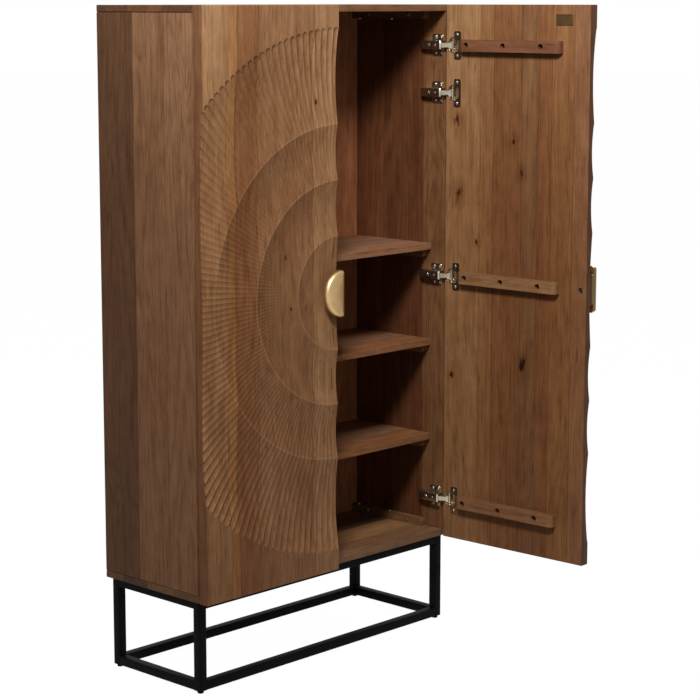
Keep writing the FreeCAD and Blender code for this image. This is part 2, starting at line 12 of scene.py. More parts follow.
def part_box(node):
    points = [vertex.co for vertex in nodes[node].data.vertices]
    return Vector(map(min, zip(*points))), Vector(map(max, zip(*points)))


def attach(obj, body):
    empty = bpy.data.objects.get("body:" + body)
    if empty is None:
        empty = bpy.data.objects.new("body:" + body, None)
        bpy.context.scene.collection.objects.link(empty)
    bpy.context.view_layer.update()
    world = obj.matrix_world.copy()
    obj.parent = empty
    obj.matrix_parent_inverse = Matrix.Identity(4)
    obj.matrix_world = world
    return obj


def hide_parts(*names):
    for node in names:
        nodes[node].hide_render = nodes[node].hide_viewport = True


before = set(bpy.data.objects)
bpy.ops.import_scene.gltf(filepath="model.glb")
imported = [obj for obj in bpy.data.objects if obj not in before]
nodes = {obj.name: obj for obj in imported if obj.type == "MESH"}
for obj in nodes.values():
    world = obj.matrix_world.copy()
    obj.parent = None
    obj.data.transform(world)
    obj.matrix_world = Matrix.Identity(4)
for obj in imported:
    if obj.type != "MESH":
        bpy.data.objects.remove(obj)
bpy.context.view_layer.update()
scene = bpy.context.scene
scene.view_settings.view_transform = "Standard"

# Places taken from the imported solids
lid_low, lid_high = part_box("lid_panel")
floor_low, floor_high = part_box("floor_panel")
CENTRE_X = 500 * (lid_low.x + lid_high.x)
FRONT_Y = 1000 * lid_low.y
MIDDLE_Z = 500 * (floor_low.z + lid_high.z)
SIDES = ("left", "right")
SIGN = {"left": -1, "right": 1}
REST_TURN = {"left": 0, "right": 92}

# The carcass from its middle plane, and a leaf
HALF_WIDTH = 400
INNER_FACE = 382
LEAF_WIDTH = 398.5
LEAF_HALF = 622.5
LEAF_THICK = 25

# Hinges: heights from mid height, the turning axis from the middle plane and before the carcass front, and
# on a leaf the cup's middle and its pin from the hinge edge and from the carved face
HINGES = [530.5, 422.5, 0, -530.5]
AXIS_ACROSS = 389
AXIS_FORWARD = 17.5
CUP_ACROSS = 22.5
PIN_ACROSS = 17.5
PIN_DEEP = 23
LINK_LEAN = 24


def in_cabinet(point):
    # Across from the middle plane, back from the carcass front, up from the floor
    return Vector(((point[0] + CENTRE_X) / 1000, (point[1] + FRONT_Y) / 1000, point[2] / 1000))


def on_door(side):
    # From the hinge edge across, from the carved face to the inside, up from mid height
    sign = SIGN[side]
    turn = math.radians(sign * REST_TURN[side])
    axis_x = CENTRE_X + sign * AXIS_ACROSS
    axis_y = FRONT_Y - AXIS_FORWARD

    def place(point):
        across = sign * (HALF_WIDTH - AXIS_ACROSS - point[0])
        deep = point[1] - LEAF_THICK / 2
        return Vector(((axis_x + across * math.cos(turn) - deep * math.sin(turn)) / 1000,
                       (axis_y + across * math.sin(turn) + deep * math.cos(turn)) / 1000,
                       (MIDDLE_Z + point[2]) / 1000))
    return place


def on_side_panel(side):
    # From the panel's inner face inwards, back from the carcass front, up from mid height
    def place(point):
        return in_cabinet((SIGN[side] * (INNER_FACE - point[0]), point[1], MIDDLE_Z + point[2]))
    return place


def on_link(side):
    # From the cup's pin along the link, across its web towards the middle of the cabinet, up from mid height
    pin = on_door(side)((PIN_ACROSS, PIN_DEEP, 0))
    lean = math.radians(LINK_LEAN)

    def place(point):
        across = -SIGN[side] * (point[0] * math.sin(lean) + point[1] * math.cos(lean))
        back = point[0] * math.cos(lean) - point[1] * math.sin(lean)
        return pin + Vector((across, back, point[2])) / 1000
    return place


def circle(across, up, radius, count):
    turns = [2 * math.pi * i / count for i in range(count)]
    return [(across + radius * math.cos(turn), up + radius * math.sin(turn)) for turn in turns]


def arc(across, up, radius, start, stop, count):
    # Both ends are included, and the angles are in degrees
    turns = [math.radians(angle) for angle in np.linspace(start, stop, count)]
    return [(across + radius * math.cos(turn), up + radius * math.sin(turn)) for turn in turns]


def round_box(left, right, low, high, radius, steps=5):
    middles = ((right - radius, high - radius), (left + radius, high - radius),
               (left + radius, low + radius), (right - radius, low + radius))
    outline = []
    for quarter, (centre_a, centre_b) in enumerate(middles):
        for i in range(steps + 1):
            angle = math.radians(90 * quarter + 90 * i / steps)
            outline.append((centre_a + radius * math.cos(angle), centre_b + radius * math.sin(angle)))
    return outline


class Form:
    # A mesh in the making, in millimetres, with places still to be turned into the cabinet's frame
    def __init__(self):
        self.points = []
        self.faces = []

    def ring(self, points):
        start = len(self.points)
        self.points.extend(tuple(point) for point in points)
        return list(range(start, len(self.points)))

    def bridge(self, first, second):
        count = len(first)
        for i in range(count):
            after = (i + 1) % count
            self.faces.append((first[i], first[after], second[after], second[i]))

    def cap(self, outer, holes=()):
        loops = [outer, *holes]
        order = [index for loop in loops for index in loop]
        corners = [[Vector(self.points[index]) for index in loop] for loop in loops]
        for triangle in tessellate_polygon(corners):
            self.faces.append(tuple(order[index] for index in triangle))

    def fan(self, ring, tip):
        centre = self.ring([tip])[0]
        for i in range(len(ring)):
            self.faces.append((ring[i], ring[(i + 1) % len(ring)], centre))

    def loft(self, rings):
        # Closed skin through rings of equal count, with both ends capped
        made = [self.ring(points) for points in rings]
        for first, second in zip(made, made[1:]):
            self.bridge(first, second)
        self.cap(made[0])
        self.cap(made[-1])

    def slab(self, outline, low, high, spot, ease=0.4):
        # Flat plate of that outline; spot turns a point of the outline and a height into a place
        centre = np.mean(np.array(outline), axis=0)

        def eased(points):
            away = [np.array(point) - centre for point in points]
            return [centre + step * (1 - ease / max(np.linalg.norm(step), ease)) for step in away]
        rings = [[spot(a, b, low) for a, b in outline],
                 [spot(a, b, high - ease) for a, b in outline],
                 [spot(a, b, high) for a, b in eased(outline)]]
        self.loft(rings)

    def lathe(self, profile, spot, count=32):
        # Turned form through (radius, height) pairs that begin and end on the axis
        rings = []
        for radius, height in profile[1:-1]:
            rings.append(self.ring([spot(a, b, height) for a, b in circle(0, 0, radius, count)]))
        for first, second in zip(rings, rings[1:]):
            self.bridge(first, second)
        self.fan(rings[0], spot(0, 0, profile[0][1]))
        self.fan(rings[-1], spot(0, 0, profile[-1][1]))

    def screw(self, spot, radius, height):
        # Pan head with a cross recess
        count = 20
        rings = []
        for share, level in ((1, 0), (1, 0.35), (0.92, 0.72), (0.74, 0.94), (0.58, 1)):
            around = circle(0, 0, share * radius, count)
            rings.append(self.ring([spot(a, b, level * height) for a, b in around]))
        for first, second in zip(rings, rings[1:]):
            self.bridge(first, second)
        self.cap(rings[0])
        arm = 0.48 * radius
        slim = 0.12 * radius
        cross = [(slim, slim), (slim, arm), (-slim, arm), (-slim, slim), (-arm, slim), (-arm, -slim),
                 (-slim, -slim), (-slim, -arm), (slim, -arm), (slim, -slim), (arm, -slim), (arm, slim)]
        mouth = self.ring([spot(a, b, height) for a, b in cross])
        bottom = self.ring([spot(a, b, 0.35 * height) for a, b in cross])
        self.cap(rings[-1], [mouth])
        self.bridge(mouth, bottom)
        self.cap(bottom)


def finished(build, name, body, material, stands_for, sharp):
    # Turns a mesh in the making into a piece; edges that fold by more than sharp degrees stay crisp
    bmesh.ops.recalc_face_normals(build, faces=build.faces[:])
    for face in build.faces:
        face.smooth = True
    limit = math.radians(sharp)
    for edge in build.edges:
        if len(edge.link_faces) == 2 and edge.calc_face_angle() > limit:
            edge.smooth = False
    mesh = bpy.data.meshes.new(name)
    build.to_mesh(mesh)
    build.free()
    made = bpy.data.objects.new(name, mesh)
    scene.collection.objects.link(made)
    mesh.materials.append(material)
    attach(made, body)
    if stands_for:
        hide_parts(*stands_for)
    return made


def piece(form, name, place, body, material, stands_for=(), sharp=32):
    build = bmesh.new()
    corners = [build.verts.new(place(point)) for point in form.points]
    for face in form.faces:
        build.faces.new([corners[index] for index in face])
    bmesh.ops.remove_doubles(build, verts=build.verts[:], dist=1e-7)
    return finished(build, name, body, material, stands_for, sharp)


# Materials
def tone(red, green, blue):
    # Screen colour to the linear colour that shaders use
    return tuple(value / 255 / 12.92 if value < 10.4 else ((value / 255 + 0.055) / 1.055) ** 2.4
                 for value in (red, green, blue)) + (1,)


class Shader:
    # A node tree with short ways to add and join nodes
    def __init__(self, name):
        self.material = bpy.data.materials.new(name)
        self.material.use_nodes = True
        self.tree = self.material.node_tree
        self.surface = self.tree.nodes["Principled BSDF"]

    def add(self, kind, sockets=(), **settings):
        node = self.tree.nodes.new("ShaderNode" + kind)
        for key, value in settings.items():
            setattr(node, key, value)
        for key, value in dict(sockets).items():
            self.feed(node.inputs[key], value)
        return node

    def feed(self, socket, value):
        if isinstance(value, bpy.types.NodeSocket):
            self.tree.links.new(value, socket)
        else:
            socket.default_value = value

    def math(self, operation, first, second=0.0, third=0.0):
        return self.add("Math", {0: first, 1: second, 2: third}, operation=operation).outputs[0]

    def vector(self, operation, first, second):
        node = self.add("VectorMath", {0: first, 1: second}, operation=operation)
        return node.outputs["Value" if operation == "DOT_PRODUCT" else "Vector"]

    def noise(self, where, scale, detail=3, roughness=0.55, distortion=0.0):
        sockets = {"Vector": where, "Scale": scale, "Detail": detail, "Roughness": roughness}
        sockets["Distortion"] = distortion
        return self.add("TexNoise", sockets).outputs["Fac"]

    def spread(self, value, low, high, to_low, to_high):
        sockets = {"Value": value, "From Min": low, "From Max": high, "To Min": to_low, "To Max": to_high}
        return self.add("MapRange", sockets).outputs["Result"]

    def mix(self, share, first, second, blend="MIX"):
        node = self.add("Mix", data_type="RGBA", blend_type=blend)
        self.feed(node.inputs[0], share)
        self.feed(node.inputs[6], first)
        self.feed(node.inputs[7], second)
        return node.outputs[2]

    def darken(self, share, colour, shade):
        return self.mix(share, colour, shade, "MULTIPLY")

    def apart(self, value, place):
        return self.math("ABSOLUTE", self.math("SUBTRACT", value, place))

    def distance(self, first, second):
        squares = [self.math("MULTIPLY", value, value) for value in (first, second)]
        return self.math("SQRT", self.math("ADD", *squares))

    def largest(self, values):
        most = values[0]
        for value in values[1:]:
            most = self.math("MAXIMUM", most, value)
        return most

    def ramp(self, value, stops):
        node = self.add("ValToRGB", {"Fac": value})
        ramp = node.color_ramp
        ramp.interpolation = "CONSTANT"
        ramp.elements[0].position = 0
        ramp.elements[0].color = stops[0][1]
        ramp.elements.remove(ramp.elements[1])
        for position, colour in stops[1:]:
            ramp.elements.new(position).color = colour
        return node.outputs["Color"]

    def bump(self, height, strength, distance):
        node = self.add("Bump", {"Height": height, "Strength": strength, "Distance": distance})
        self.feed(self.surface.inputs["Normal"], node.outputs["Normal"])

    def set(self, **values):
        for key, value in values.items():
            self.feed(self.surface.inputs[key.replace("_", " ")], value)


X_WAY = (1, 0, 0)
Y_WAY = (0, 1, 0)
Z_WAY = (0, 0, 1)


# Radii of a leaf's carved rings, in millimetres
RINGS = (126, 247, 368)

# What is left of red, green and blue where the wood is darkest, and the reach of its edges in metres
GRAIN_SHADE = (0.34, 0.26, 0.21, 1)
CLOUD_SHADE = (0.78, 0.70, 0.64, 1)
PORE_SHADE = (0.38, 0.31, 0.26, 1)
# Painted shade towards the lower ends of upright boards
LOWER_SHADE_COLOUR = (0.80, 0.70, 0.62, 1)
JOINT_SHADE = (0.25, 0.2, 0.17, 1)
END_SHADE = (0.34, 0.29, 0.26, 1)
KNOT_EDGE_SHADE = (0.62, 0.5, 0.4, 1)
KNOT_SHADE = (0.16, 0.11, 0.08, 1)
CRACK_SHADE = (0.42, 0.2, 0.12, 1)
# Painted highlight along the ring crests
CREST_HIGHLIGHT = tone(222, 184, 132)
HALF_JOINT = 0.0007
# Depths below the lid's top where that painted shade starts and where it is full
LOWER_SHADE_START = 0.05
LOWER_SHADE_FULL = 0.42
END_FULL = 0.0008
END_GONE = 0.002
END_SHARE = 0.7
# Width of the painted shade on a leaf's long edges
SHADED_RIM_SKIN = 0.0008


def wood(name, start, across, along, boards, knots=(), width=0.4, figure=0.12, wild=1.0, length=None,
         rim=None, lower_shade=0.0, lower_shade_reach=None, crest=None, cracks=()):
    # Boards glued side by side: each has its own tone and its own grain. A board is (first edge, tone, seed)
    # with its edge in metres from start, and a knot is (across, along, size) in metres. Where length is
    # given, the end grain at both ends of the boards is darker. A rim is a darker tone on a leaf's two long
    # edges, painted shade. Two further arguments paint shade on upright boards, redder and darker towards
    # their lower ends: its strength, and the reach from the start within which boards get more of it. A crest
    # is the depth of a leaf's ring crests, which get a thin paler line as a painted highlight. A crack is
    # (across, along, half its length) in metres.
    shader = Shader(name)
    here = shader.add("TexCoord").outputs["Object"]
    here_height = shader.vector("DOT_PRODUCT", here, Z_WAY)
    away = shader.vector("SUBTRACT", here, start)
    over = shader.vector("DOT_PRODUCT", away, across)
    grain = shader.vector("DOT_PRODUCT", away, along)
    third = tuple(Vector(across).cross(Vector(along)))
    deep = shader.vector("DOT_PRODUCT", away, third)
    share = shader.math("DIVIDE", over, width)
    tones = [(edge / width, colour) for edge, colour, seed in boards]
    # Painted shade: a darker tone over the leaf's two long edges
    if rim is not None:
        far_shaded_rim = (LEAF_WIDTH / 1000 - SHADED_RIM_SKIN) / width
        tones = [(0, rim), (SHADED_RIM_SKIN / width, boards[0][1]), *tones[1:], (far_shaded_rim, rim)]
    tint = shader.ramp(share, tones)
    seed = shader.ramp(share, [(edge / width, (seed, seed, seed, 1)) for edge, colour, seed in boards])
    grain_here = shader.math("MULTIPLY_ADD", seed, 9.7, grain)
    deep_here = shader.math("MULTIPLY_ADD", seed, 3.1, deep)

    def stretched(fine, long):
        return shader.add("CombineXYZ", {
            "X": shader.math("MULTIPLY", over, fine),
            "Y": shader.math("MULTIPLY", grain_here, long),
            "Z": shader.math("MULTIPLY", deep_here, fine)}).outputs["Vector"]

    fibre = shader.noise(stretched(230, 7), 1, 4, 0.66)
    streak = shader.noise(stretched(60, 2.2), 1, 4, 0.62, 0.3)
    pores = shader.noise(stretched(420, 14), 1, 3, 0.6)
    swell = shader.noise(stretched(9, 1.1), 1, 2, 0.5, 0.5)
    cloud = shader.noise(stretched(11, 3.2), 1, 4, 0.6)
    mottle = shader.noise(stretched(48, 24), 1, 4, 0.6)
    crumble = shader.noise(stretched(150, 45), 1, 3, 0.6)
    phase = shader.math("MULTIPLY_ADD", swell, 90 * wild, shader.math("MULTIPLY", fibre, 2.6))
    spots = []
    halos = []
    for knot_over, knot_along, size in knots:
        beside = shader.math("DIVIDE", shader.math("SUBTRACT", over, knot_over), size)
        above = shader.math("DIVIDE", shader.math("SUBTRACT", grain, knot_along), 1.7 * size)
        far = shader.distance(beside, above)
        ragged = shader.math("MULTIPLY_ADD", shader.math("SUBTRACT", crumble, 0.5), 2.4, far)
        fade = shader.math("EXPONENT", shader.math("MULTIPLY", far, -0.45))
        phase = shader.math("MULTIPLY_ADD", fade, 9, phase)
        spots.append(shader.spread(ragged, 0.35, 0.8, 1, 0))
        halos.append(shader.spread(far, 0.7, 2.6, 0.6, 0))
    wave = shader.math("MULTIPLY_ADD", shader.math("SINE", phase), 0.5, 0.5)
    rings = shader.math("MULTIPLY", wave, wave)
    shade = shader.math("MULTIPLY_ADD", rings, figure, shader.spread(fibre, 0.34, 0.68, 0, 0.3))
    shade = shader.math("ADD", shade, shader.spread(streak, 0.32, 0.7, 0, 0.22))
    shade = shader.math("ADD", shade, shader.spread(mottle, 0.3, 0.7, 0, 0.28))
    colour = shader.darken(shade, tint, GRAIN_SHADE)
    colour = shader.darken(shader.spread(cloud, 0.3, 0.75, 0, 0.75), colour, CLOUD_SHADE)
    open_pores = shader.spread(pores, 0.58, 0.66, 0, 0.6)
    colour = shader.darken(open_pores, colour, PORE_SHADE)
    # Painted shade: upright boards turn redder and darker towards their lower ends, more so near the start
    if lower_shade:
        lower = shader.spread(here_height, lid_high.z - LOWER_SHADE_FULL, lid_high.z - LOWER_SHADE_START, lower_shade, 0)
        if lower_shade_reach is not None:
            beside = shader.spread(over, 0.5 * lower_shade_reach, lower_shade_reach, 1.7, 0.9)
            lower = shader.math("MULTIPLY", lower, beside)
        colour = shader.darken(lower, colour, LOWER_SHADE_COLOUR)
    if len(boards) > 1:
        stops = [(0, (0, 0, 0, 1))]
        for edge, board_tone, board_seed in boards[1:]:
            stops.append(((edge - HALF_JOINT) / width, (1, 1, 1, 1)))
            stops.append(((edge + HALF_JOINT) / width, (0, 0, 0, 1)))
        joint = shader.math("MULTIPLY", shader.ramp(share, stops), 0.5)
        colour = shader.darken(joint, colour, JOINT_SHADE)
    if length is not None:
        near_end = shader.spread(grain, END_FULL, END_GONE, END_SHARE, 0)
        far_end = shader.spread(grain, length - END_GONE, length - END_FULL, 0, END_SHARE)
        colour = shader.darken(shader.largest([near_end, far_end]), colour, END_SHADE)
    if knots:
        colour = shader.darken(shader.largest(halos), colour, KNOT_EDGE_SHADE)
        colour = shader.darken(shader.largest(spots), colour, KNOT_SHADE)
    for crack_over, crack_along, half in cracks:
        wander = shader.math("MULTIPLY_ADD", shader.math("SUBTRACT", streak, 0.5), 0.006, over)
        beside = shader.spread(shader.apart(wander, crack_over), 0.0006, 0.0018, 1, 0)
        above = shader.spread(shader.apart(grain, crack_along), 0.7 * half, half, 0.9, 0)
        colour = shader.darken(shader.math("MULTIPLY", beside, above), colour, CRACK_SHADE)
    # Painted highlight: a thin paler line along each ring crest near the carved face
    if crest is not None:
        off_centre = shader.math("SUBTRACT", over, HALF_WIDTH / 1000)
        reach = shader.distance(off_centre, grain)
        crest_highlight_lines = [shader.spread(shader.apart(reach, ring / 1000), 0.0007, 0.0024, 0.1, 0) for ring in RINGS]
        below = shader.spread(shader.apart(deep, crest), 0.003, 0.005, 1, 0)
        colour = shader.mix(shader.math("MULTIPLY", shader.largest(crest_highlight_lines), below), colour, CREST_HIGHLIGHT)
    shader.set(Base_Color=colour, Roughness=shader.spread(fibre, 0.3, 0.7, 0.44, 0.58))
    shader.surface.inputs["Specular IOR Level"].default_value = 0.12
    relief = shader.math("MULTIPLY_ADD", open_pores, -0.9, fibre)
    shader.bump(relief, 0.25, 0.0005)
    return shader.material


PANEL_LENGTH = lid_high.x - lid_low.x
SIDE_LENGTH = lid_low.z - floor_high.z


def corner(node):
    return tuple(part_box(node)[0])


left_edge = on_door("left")((0, 0, 0))
right_edge = on_door("right")((0, LEAF_THICK, 0))
right_across = on_door("right")((1000, LEAF_THICK, 0)) - right_edge
door_left_wood = wood(
    "door_left_wood", tuple(left_edge), X_WAY, Z_WAY,
    [(0, tone(173, 135, 97), 0.11), (0.0724, tone(176, 132, 87), 0.63), (0.0964, tone(150, 107, 72), 0.27),
     (0.1596, tone(157, 117, 83), 0.83), (0.324, tone(173, 134, 97), 0.45)],
    [(0.2436, 0.0893, 0.004), (0.301, -0.0249, 0.003), (0.257, -0.022, 0.003), (0.336, 0.4175, 0.005)],
    rim=tone(136, 96, 66), lower_shade=0.6, lower_shade_reach=0.2, crest=-0.003,
    cracks=((0.3865, 0.099, 0.027), (0.3865, -0.0965, 0.025), (0.385, -0.191, 0.029)))
door_right_wood = wood(
    "door_right_wood", tuple(right_edge), tuple(right_across), Z_WAY,
    [(0, tone(166, 127, 89), 0.19), (0.0986, tone(153, 112, 76), 0.71), (0.1369, tone(139, 97, 64), 0.33),
     (0.2165, tone(135, 98, 68), 0.91), (0.2629, tone(138, 95, 62), 0.52), (0.2987, tone(149, 107, 70), 0.07),
     (0.3581, tone(151, 111, 79), 0.38)],
    [(0.039, 0.1945, 0.011), (0.2165, 0.2479, 0.007), (0.0235, -0.2297, 0.008), (0.2272, -0.1841, 0.012),
     (0.034, 0.361, 0.012), (0.0926, 0.0842, 0.006), (0.195, 0.32, 0.006)],
    rim=tone(122, 86, 62), lower_shade=0.75, crest=-0.022)
left_side_wood = wood(
    "left_side_wood", corner("left_side_panel"), Y_WAY, Z_WAY,
    [(0, tone(149, 112, 82), 0.15), (0.086, tone(145, 108, 78), 0.55), (0.183, tone(107, 76, 51), 0.78)],
    figure=0.2, wild=1.2, length=SIDE_LENGTH, lower_shade=0.7)
right_side_wood = wood(
    "right_side_wood", corner("right_side_panel"), Y_WAY, Z_WAY,
    [(0, tone(128, 90, 59), 0.35), (0.066, tone(106, 66, 43), 0.65), (0.19, tone(121, 75, 49), 0.05)],
    figure=0.2, wild=1.2, length=SIDE_LENGTH)
lid_wood = wood(
    "lid_wood", corner("lid_panel"), Y_WAY, X_WAY,
    [(0, tone(136, 99, 71), 0.22), (0.09, tone(158, 115, 78), 0.61), (0.2, tone(136, 99, 71), 0.9)],
    length=PANEL_LENGTH)
floor_wood = wood(
    "floor_wood", corner("floor_panel"), Y_WAY, X_WAY,
    [(0, tone(139, 105, 76), 0.42), (0.075, tone(160, 122, 83), 0.17), (0.16, tone(116, 86, 62), 0.74),
     (0.24, tone(139, 105, 76), 0.58)], length=PANEL_LENGTH)
back_wood = wood(
    "back_wood", corner("back_panel"), X_WAY, Z_WAY,
    [(0, tone(190, 130, 92), 0.3), (0.2, tone(198, 142, 100), 0.8), (0.4, tone(190, 130, 92), 0.5),
     (0.62, tone(195, 131, 91), 0.12)], width=0.8)
shelf_wood = wood(
    "shelf_wood", corner("lower_shelf"), Y_WAY, X_WAY,
    [(0, tone(155, 108, 73), 0.25), (0.07, tone(143, 105, 78), 0.6), (0.15, tone(152, 104, 69), 0.95)])
upper_shelf_wood = wood(
    "upper_shelf_wood", corner("upper_shelf"), Y_WAY, X_WAY,
    [(0, tone(170, 126, 95), 0.5), (0.07, tone(158, 123, 99), 0.35), (0.15, tone(167, 123, 91), 0.7)])
cleat_wood = wood("cleat_wood", corner("left_floor_cleat"), X_WAY, Y_WAY, [(0, tone(136, 99, 71), 0.4)])
BATTEN_LOWEST = Vector((0, 0, 0.6))
BATTEN_TONES = [(0, tone(150, 108, 76), 0.2), (0.4, tone(150, 111, 78), 0.6), (0.9, tone(128, 86, 62), 0.4)]
LEAF_EDGES = {"left": (tuple(left_edge), X_WAY), "right": (tuple(right_edge), tuple(right_across))}
batten_woods = {}
for side, (start, way) in LEAF_EDGES.items():
    lowest = tuple(Vector(start) - BATTEN_LOWEST)
    batten_woods[side] = wood(side + "_batten_wood", lowest, Z_WAY, way, BATTEN_TONES, width=1.2)


def metal(name, colour, rough, grain_scale, relief, brushed=None, shaded_stretch=None):
    # Metal with fine changes of polish; brushed is a stretch of the grain along one direction, and
    # the last argument is (start, direction, distance, tone) of a stretch beyond that distance that gets
    # painted shade
    shader = Shader(name)
    here = shader.add("TexCoord").outputs["Object"]
    fine_place = here if brushed is None else shader.vector("MULTIPLY", here, brushed)
    fine = shader.noise(fine_place, grain_scale, 4, 0.6)
    broad = shader.noise(here, 38, 3, 0.5)
    darker = tuple(0.72 * value for value in colour[:3]) + (1,)
    polish_and_shade = shader.mix(shader.spread(broad, 0.3, 0.7, 0, 0.6), colour, darker)
    # Painted shade over the stretch beyond the given distance
    if shaded_stretch is not None:
        start, way, distance, stretch_shade_tone = shaded_stretch
        reach = shader.vector("DOT_PRODUCT", shader.vector("SUBTRACT", here, start), way)
        beyond = shader.spread(reach, distance - 0.0006, distance + 0.0004, 0, 0.85)
        polish_and_shade = shader.mix(beyond, polish_and_shade, stretch_shade_tone)
    shader.set(Base_Color=polish_and_shade, Roughness=shader.spread(fine, 0.3, 0.7, rough - 0.07, rough + 0.1))
    shader.surface.inputs["Metallic"].default_value = 1
    shader.bump(fine, relief, 0.0002)
    return shader.material


def coating(name, colour, rough, grain_scale, relief):
    # Powder coat or moulded plastic with a fine pebbled skin
    shader = Shader(name)
    here = shader.add("TexCoord").outputs["Object"]
    fine = shader.noise(here, grain_scale, 3, 0.55)
    broad = shader.noise(here, 24, 3, 0.5)
    lighter = tuple(1.5 * value for value in colour[:3]) + (1,)
    shader.set(Base_Color=shader.mix(shader.spread(broad, 0.3, 0.7, 0, 1), colour, lighter),
               Roughness=shader.spread(fine, 0.3, 0.7, rough - 0.06, rough + 0.08))
    shader.surface.inputs["Specular IOR Level"].default_value = 0.04
    shader.bump(fine, relief, 0.0003)
    return shader.material


# Beyond this distance from the hinge edge the brass gets painted shade, on the handle's straight side that
# faces away from the light
BRASS_EDGE = 0.3972
satin_brass = {}
for side, (start, way) in LEAF_EDGES.items():
    satin_brass[side] = metal(side + "_satin_brass", tone(236, 201, 145), 0.36, 900, 0.15, (1, 1, 0.12),
                              (start, way, BRASS_EDGE, tone(104, 84, 52)))
# Nickel: its own pale tone, made warmer as a painted reflection of the surrounding wood
nickel = metal("nickel", tone(222, 206, 182), 0.26, 700, 0.08)
screw_steel = metal("screw_steel", tone(176, 174, 172), 0.32, 800, 0.1)
dark_steel = metal("dark_steel", tone(96, 94, 92), 0.36, 800, 0.1)
bronze = metal("bronze", tone(120, 92, 58), 0.45, 700, 0.15)
black_coat = coating("black_coat", (0.003, 0.003, 0.0031, 1), 0.46, 1400, 0.12)
black_plastic = coating("black_plastic", (0.009, 0.009, 0.009, 1), 0.55, 900, 0.1)


# Carved leaves: ring coves and radial flutes on the face, seats for the hinge cups and the screw inside
FLUTES = 94
STEPS = 8
FLUTE_END = 9.4
FLUTE_FLATNESS = 145
FLUTE_FADE = 50
OUTER_RING = 576
FLAT_REACH = 620
REST_RADIUS = 33.5
DISH_START = 36
DISH_DEPTH = 9.5
CREST_DEPTH = 3
COVE_BOW = 26
OUTER_COVE_BOW = 33.2
EASE = 1.0
SEAT_RADIUS = 17.7
SEAT_DEPTH = 11
BOLT_ACROSS = 384.5
BOLT_SEAT_RADIUS = 6.5
BOLT_SEAT_DEPTH = 6


def carved_face():
    # Rings of (distance from the centre, depth), one value for each column of the fan
    columns = FLUTES * STEPS + 1
    phase = (np.arange(columns) % STEPS) / STEPS
    ridge = (2 * phase - 1) ** 2
    rim = OUTER_RING - FLUTE_END + FLUTE_END * np.sqrt(1 - ridge)
    level = np.ones(columns)
    rows = [(REST_RADIUS * level, 0 * level)]
    for part in np.linspace(0, 1, 8):
        reach = DISH_START + (RINGS[0] - DISH_START) * part
        depth = DISH_DEPTH - (DISH_DEPTH - CREST_DEPTH) * (reach / RINGS[0]) ** 2
        rows.append((reach * level, depth * level))

    def flute(reach):
        width = reach * math.pi / FLUTES
        past = np.maximum(0, reach - (OUTER_RING - FLUTE_END)) / FLUTE_END
        return width ** 2 / FLUTE_FLATNESS * np.maximum(0, 1 - ridge - past ** 2)

    for first, second in zip(RINGS, RINGS[1:]):
        for part in np.linspace(0, 1, 13)[1:]:
            reach = (first + (second - first) * part) * level
            fade = np.minimum(1, (reach - RINGS[0]) / FLUTE_FADE)
            rows.append((reach, CREST_DEPTH + COVE_BOW * part * (1 - part) + fade * flute(reach)))
    for part in np.concatenate([np.linspace(0, 0.9, 16)[1:], np.linspace(0.9, 1, 8)[1:]]):
        reach = RINGS[2] + (rim - RINGS[2]) * part
        cove = CREST_DEPTH - CREST_DEPTH * part + OUTER_COVE_BOW * part * (1 - part)
        rows.append((reach, cove + flute(reach)))
    return rows


